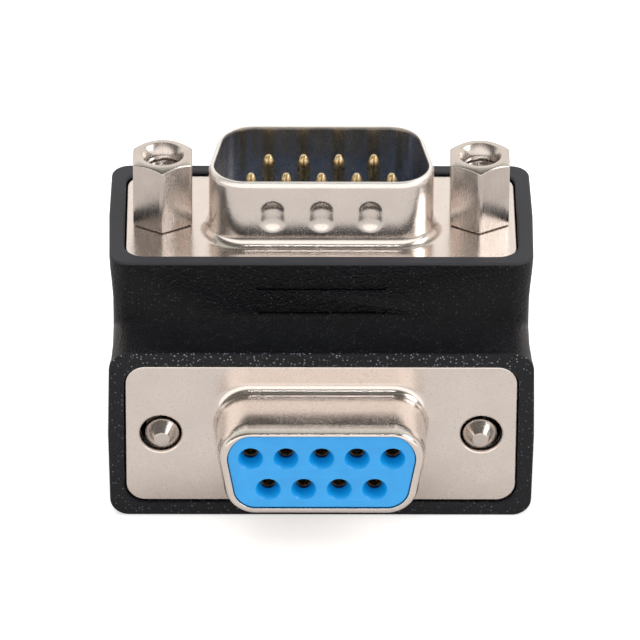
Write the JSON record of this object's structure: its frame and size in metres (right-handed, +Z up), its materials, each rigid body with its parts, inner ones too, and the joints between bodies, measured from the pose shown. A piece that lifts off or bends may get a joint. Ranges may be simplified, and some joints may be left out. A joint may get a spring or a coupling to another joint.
{
  "type": "right-angle d-sub adapter",
  "caption": "Right-angle D-sub adapter: plug port on top, socket port in front, moulded elbow body, hexagonal standoffs and captive jackscrews.",
  "frame": {"origin": "on the flat base of the moulded body, straight below the plug port's axis, on the left-right symmetry plane", "axes": "+Z up, out of the plug port; -Y out of the socket port; +X to the right when looking at the socket port, towards contact 1 of both ports"},
  "size_m": [0.0336, 0.0352, 0.0257],
  "materials": {
    "black_pvc": "fine spark-eroded texture",
    "inner_resin": "as moulded",
    "nickel_shell": "satin nickel plate",
    "tin_shell": "dull tin plate",
    "blue_insulator": "satin moulded",
    "black_insulator": "satin moulded",
    "gold_contact": "gold flash",
    "wire_sleeve": "extruded",
    "nickel_turned": "turned, nickel plate",
    "zinc_nut": "zinc plate",
    "spring_steel": "oiled"
  },
  "bodies": {
    "adapter": {"overmold": "black_pvc", "inner_mold": "inner_resin", "plug_front_shell": "nickel_shell", "socket_front_shell": "nickel_shell", "plug_rear_shell": "tin_shell", "socket_rear_shell": "tin_shell", "plug_front_insulator": "black_insulator", "plug_rear_insulator": "black_insulator", "socket_front_insulator": "blue_insulator", "socket_rear_insulator": "blue_insulator", "plug_pin_1": "gold_contact", "plug_pin_2": "gold_contact", "plug_pin_3": "gold_contact", "plug_pin_4": "gold_contact", "plug_pin_5": "gold_contact", "plug_pin_6": "gold_contact", "plug_pin_7": "gold_contact", "plug_pin_8": "gold_contact", "plug_pin_9": "gold_contact", "socket_contact_1": "gold_contact", "socket_contact_2": "gold_contact", "socket_contact_3": "gold_contact", "socket_contact_4": "gold_contact", "socket_contact_5": "gold_contact", "socket_contact_6": "gold_contact", "socket_contact_7": "gold_contact", "socket_contact_8": "gold_contact", "socket_contact_9": "gold_contact", "wire_1": "wire_sleeve", "wire_2": "wire_sleeve", "wire_3": "wire_sleeve", "wire_4": "wire_sleeve", "wire_5": "wire_sleeve", "wire_6": "wire_sleeve", "wire_7": "wire_sleeve", "wire_8": "wire_sleeve", "wire_9": "wire_sleeve", "standoff_left": "nickel_turned", "standoff_nut_left": "zinc_nut", "standoff_right": "nickel_turned", "standoff_nut_right": "zinc_nut"},
    "ring_left": {"jackscrew_ring_left": "spring_steel"},
    "screw_left": {"jackscrew_left": "nickel_turned"},
    "ring_right": {"jackscrew_ring_right": "spring_steel"},
    "screw_right": {"jackscrew_right": "nickel_turned"}
  },
  "joints": [
    {"name": "jackscrew_left_slide", "type": "slide", "parent": "adapter", "child": "ring_left", "axis": [0, -1, 0], "range_m": [-0.0012, 0.0043]},
    {"name": "jackscrew_left_turn", "type": "hinge", "parent": "ring_left", "child": "screw_left", "pos_m": [-0.01249, 0, 0.0075], "axis": [0, -1, 0], "continuous": true},
    {"name": "jackscrew_right_slide", "type": "slide", "parent": "adapter", "child": "ring_right", "axis": [0, -1, 0], "range_m": [-0.0012, 0.0043]},
    {"name": "jackscrew_right_turn", "type": "hinge", "parent": "ring_right", "child": "screw_right", "pos_m": [0.01249, 0, 0.0075], "axis": [0, -1, 0], "continuous": true}
  ]
}
